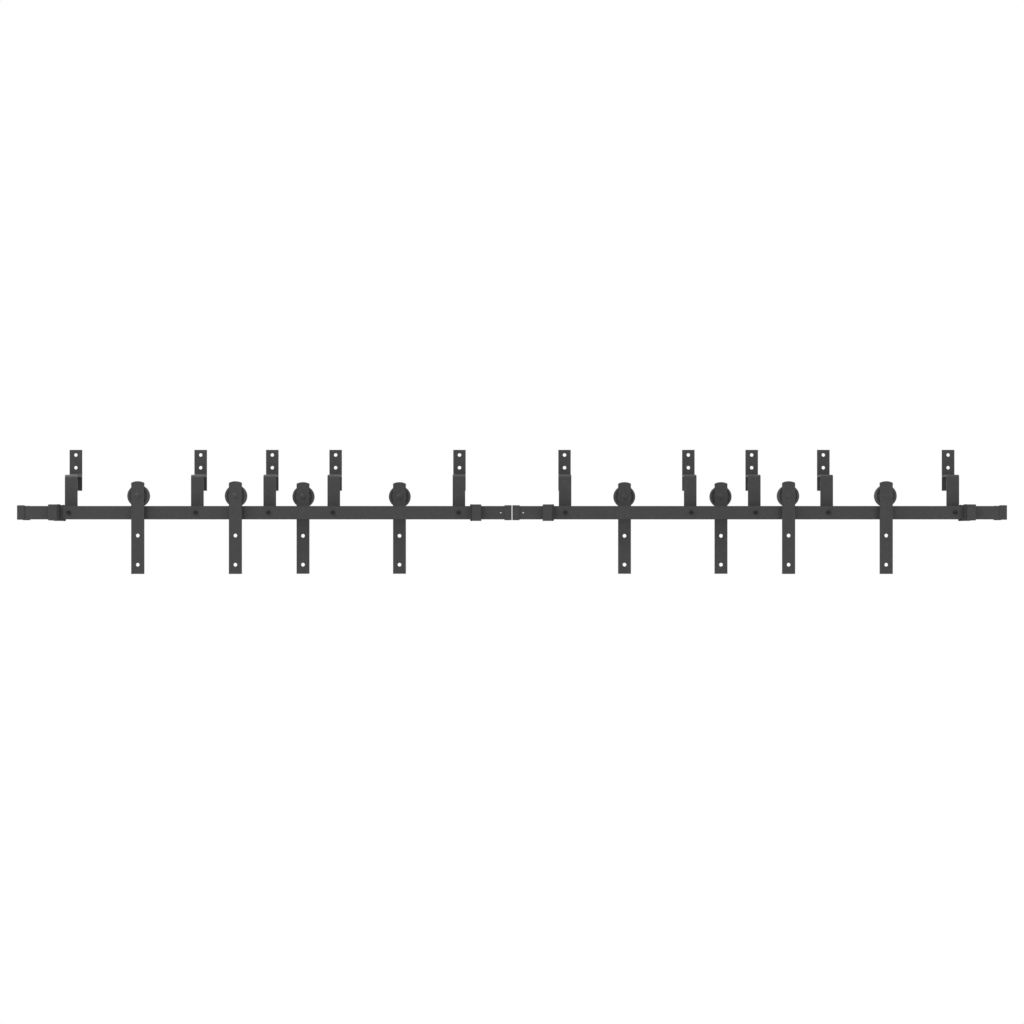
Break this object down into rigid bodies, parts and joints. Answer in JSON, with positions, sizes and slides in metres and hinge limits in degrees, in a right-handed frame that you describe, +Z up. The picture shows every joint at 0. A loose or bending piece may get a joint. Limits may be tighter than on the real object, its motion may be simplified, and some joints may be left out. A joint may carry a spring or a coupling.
{
  "type": "bypass sliding barn door hardware set",
  "caption": "Double-track bypass hardware for sliding barn doors: flat rails on bent wall brackets, with rolling strap hangers, rubber-faced stops and end caps.",
  "frame": {"origin": "in the wall plane, level with the middle of the rails, at the joint between the left and right rails", "axes": "+X along the rails to the right as seen from the room, +Y into the wall, +Z up"},
  "size_m": [3.059, 0.179, 0.389],
  "materials": {
    "powder_coated_steel": "matt black powder coat with a fine texture",
    "black_oxide_steel": "black oxide, satin",
    "bumper_rubber": "matt moulded rubber",
    "cap_plastic": "fine moulded texture",
    "wheel_nylon": "moulded nylon, slightly polished at the tread",
    "bearing_steel": "ground steel"
  },
  "bodies": {
    "fixed_track": {"front_rail_left": "powder_coated_steel", "front_rail_right": "powder_coated_steel", "rear_rail_left": "powder_coated_steel", "rear_rail_right": "powder_coated_steel", "bracket_left_1": "powder_coated_steel", "bracket_left_2": "powder_coated_steel", "bracket_left_3": "powder_coated_steel", "bracket_left_4": "powder_coated_steel", "bracket_left_5": "powder_coated_steel", "bracket_right_1": "powder_coated_steel", "bracket_right_2": "powder_coated_steel", "bracket_right_3": "powder_coated_steel", "bracket_right_4": "powder_coated_steel", "bracket_right_5": "powder_coated_steel", "front_rail_spacers": "powder_coated_steel", "rear_rail_spacers": "powder_coated_steel", "front_rail_bolts": "black_oxide_steel", "front_rail_washers": "black_oxide_steel", "front_rail_nuts": "black_oxide_steel", "rear_rail_lag_bolts": "black_oxide_steel", "front_rail_stops": "powder_coated_steel", "rear_rail_stops": "powder_coated_steel", "stop_bumpers": "bumper_rubber", "front_end_caps": "cap_plastic", "rear_end_caps": "cap_plastic"},
    "front_left_outer_hanger": {"front_left_outer_strap": "powder_coated_steel", "front_left_outer_axle": "powder_coated_steel"},
    "front_left_outer_wheel": {"front_left_outer_wheel": "wheel_nylon", "front_left_outer_bearing": "bearing_steel"},
    "front_left_inner_hanger": {"front_left_inner_strap": "powder_coated_steel", "front_left_inner_axle": "powder_coated_steel"},
    "front_left_inner_wheel": {"front_left_inner_wheel": "wheel_nylon", "front_left_inner_bearing": "bearing_steel"},
    "front_right_outer_hanger": {"front_right_outer_strap": "powder_coated_steel", "front_right_outer_axle": "powder_coated_steel"},
    "front_right_outer_wheel": {"front_right_outer_wheel": "wheel_nylon", "front_right_outer_bearing": "bearing_steel"},
    "front_right_inner_hanger": {"front_right_inner_strap": "powder_coated_steel", "front_right_inner_axle": "powder_coated_steel"},
    "front_right_inner_wheel": {"front_right_inner_wheel": "wheel_nylon", "front_right_inner_bearing": "bearing_steel"},
    "rear_left_outer_hanger": {"rear_left_outer_strap": "powder_coated_steel", "rear_left_outer_axle": "powder_coated_steel"},
    "rear_left_outer_wheel": {"rear_left_outer_wheel": "wheel_nylon", "rear_left_outer_bearing": "bearing_steel"},
    "rear_left_inner_hanger": {"rear_left_inner_strap": "powder_coated_steel", "rear_left_inner_axle": "powder_coated_steel"},
    "rear_left_inner_wheel": {"rear_left_inner_wheel": "wheel_nylon", "rear_left_inner_bearing": "bearing_steel"},
    "rear_right_outer_hanger": {"rear_right_outer_strap": "powder_coated_steel", "rear_right_outer_axle": "powder_coated_steel"},
    "rear_right_outer_wheel": {"rear_right_outer_wheel": "wheel_nylon", "rear_right_outer_bearing": "bearing_steel"},
    "rear_right_inner_hanger": {"rear_right_inner_strap": "powder_coated_steel", "rear_right_inner_axle": "powder_coated_steel"},
    "rear_right_inner_wheel": {"rear_right_inner_wheel": "wheel_nylon", "rear_right_inner_bearing": "bearing_steel"}
  },
  "joints": [
    {"name": "front_left_outer_slide", "type": "slide", "parent": "fixed_track", "child": "front_left_outer_hanger", "axis": [1, 0, 0], "range_m": [-0.2195, 0.7005]},
    {"name": "front_left_outer_wheel_spin", "type": "hinge", "parent": "front_left_outer_hanger", "child": "front_left_outer_wheel", "pos_m": [-1.154, -0.112, 0.051], "axis": [0, 1, 0], "continuous": true},
    {"name": "front_left_inner_slide", "type": "slide", "parent": "fixed_track", "child": "front_left_inner_hanger", "axis": [1, 0, 0], "range_m": [-0.2195, 0.7005]},
    {"name": "front_left_inner_wheel_spin", "type": "hinge", "parent": "front_left_inner_hanger", "child": "front_left_inner_wheel", "pos_m": [-0.853, -0.112, 0.051], "axis": [0, 1, 0], "continuous": true},
    {"name": "front_right_outer_slide", "type": "slide", "parent": "fixed_track", "child": "front_right_outer_hanger", "axis": [1, 0, 0], "range_m": [-0.7005, 0.2195]},
    {"name": "front_right_outer_wheel_spin", "type": "hinge", "parent": "front_right_outer_hanger", "child": "front_right_outer_wheel", "pos_m": [1.154, -0.112, 0.051], "axis": [0, 1, 0], "continuous": true},
    {"name": "front_right_inner_slide", "type": "slide", "parent": "fixed_track", "child": "front_right_inner_hanger", "axis": [1, 0, 0], "range_m": [-0.7005, 0.2195]},
    {"name": "front_right_inner_wheel_spin", "type": "hinge", "parent": "front_right_inner_hanger", "child": "front_right_inner_wheel", "pos_m": [0.853, -0.112, 0.051], "axis": [0, 1, 0], "continuous": true},
    {"name": "rear_left_outer_slide", "type": "slide", "parent": "fixed_track", "child": "rear_left_outer_hanger", "axis": [1, 0, 0], "range_m": [-0.7215, 0.1985]},
    {"name": "rear_left_outer_wheel_spin", "type": "hinge", "parent": "rear_left_outer_hanger", "child": "rear_left_outer_wheel", "pos_m": [-0.652, -0.034, 0.051], "axis": [0, 1, 0], "continuous": true},
    {"name": "rear_left_inner_slide", "type": "slide", "parent": "fixed_track", "child": "rear_left_inner_hanger", "axis": [1, 0, 0], "range_m": [-0.7215, 0.1985]},
    {"name": "rear_left_inner_wheel_spin", "type": "hinge", "parent": "rear_left_inner_hanger", "child": "rear_left_inner_wheel", "pos_m": [-0.351, -0.034, 0.051], "axis": [0, 1, 0], "continuous": true},
    {"name": "rear_right_outer_slide", "type": "slide", "parent": "fixed_track", "child": "rear_right_outer_hanger", "axis": [1, 0, 0], "range_m": [-0.1985, 0.7215]},
    {"name": "rear_right_outer_wheel_spin", "type": "hinge", "parent": "rear_right_outer_hanger", "child": "rear_right_outer_wheel", "pos_m": [0.652, -0.034, 0.051], "axis": [0, 1, 0], "continuous": true},
    {"name": "rear_right_inner_slide", "type": "slide", "parent": "fixed_track", "child": "rear_right_inner_hanger", "axis": [1, 0, 0], "range_m": [-0.1985, 0.7215]},
    {"name": "rear_right_inner_wheel_spin", "type": "hinge", "parent": "rear_right_inner_hanger", "child": "rear_right_inner_wheel", "pos_m": [0.351, -0.034, 0.051], "axis": [0, 1, 0], "continuous": true}
  ],
  "couplings": [
    {"joint": "front_left_outer_wheel_spin", "follows": "front_left_outer_slide", "rad_per_m": 32.258},
    {"joint": "front_left_inner_slide", "follows": "front_left_outer_slide", "ratio": 1},
    {"joint": "front_left_inner_wheel_spin", "follows": "front_left_outer_slide", "rad_per_m": 32.258},
    {"joint": "front_right_outer_wheel_spin", "follows": "front_right_outer_slide", "rad_per_m": 32.258},
    {"joint": "front_right_inner_slide", "follows": "front_right_outer_slide", "ratio": 1},
    {"joint": "front_right_inner_wheel_spin", "follows": "front_right_outer_slide", "rad_per_m": 32.258},
    {"joint": "rear_left_outer_wheel_spin", "follows": "rear_left_outer_slide", "rad_per_m": 32.258},
    {"joint": "rear_left_inner_slide", "follows": "rear_left_outer_slide", "ratio": 1},
    {"joint": "rear_left_inner_wheel_spin", "follows": "rear_left_outer_slide", "rad_per_m": 32.258},
    {"joint": "rear_right_outer_wheel_spin", "follows": "rear_right_outer_slide", "rad_per_m": 32.258},
    {"joint": "rear_right_inner_slide", "follows": "rear_right_outer_slide", "ratio": 1},
    {"joint": "rear_right_inner_wheel_spin", "follows": "rear_right_outer_slide", "rad_per_m": 32.258}
  ]
}
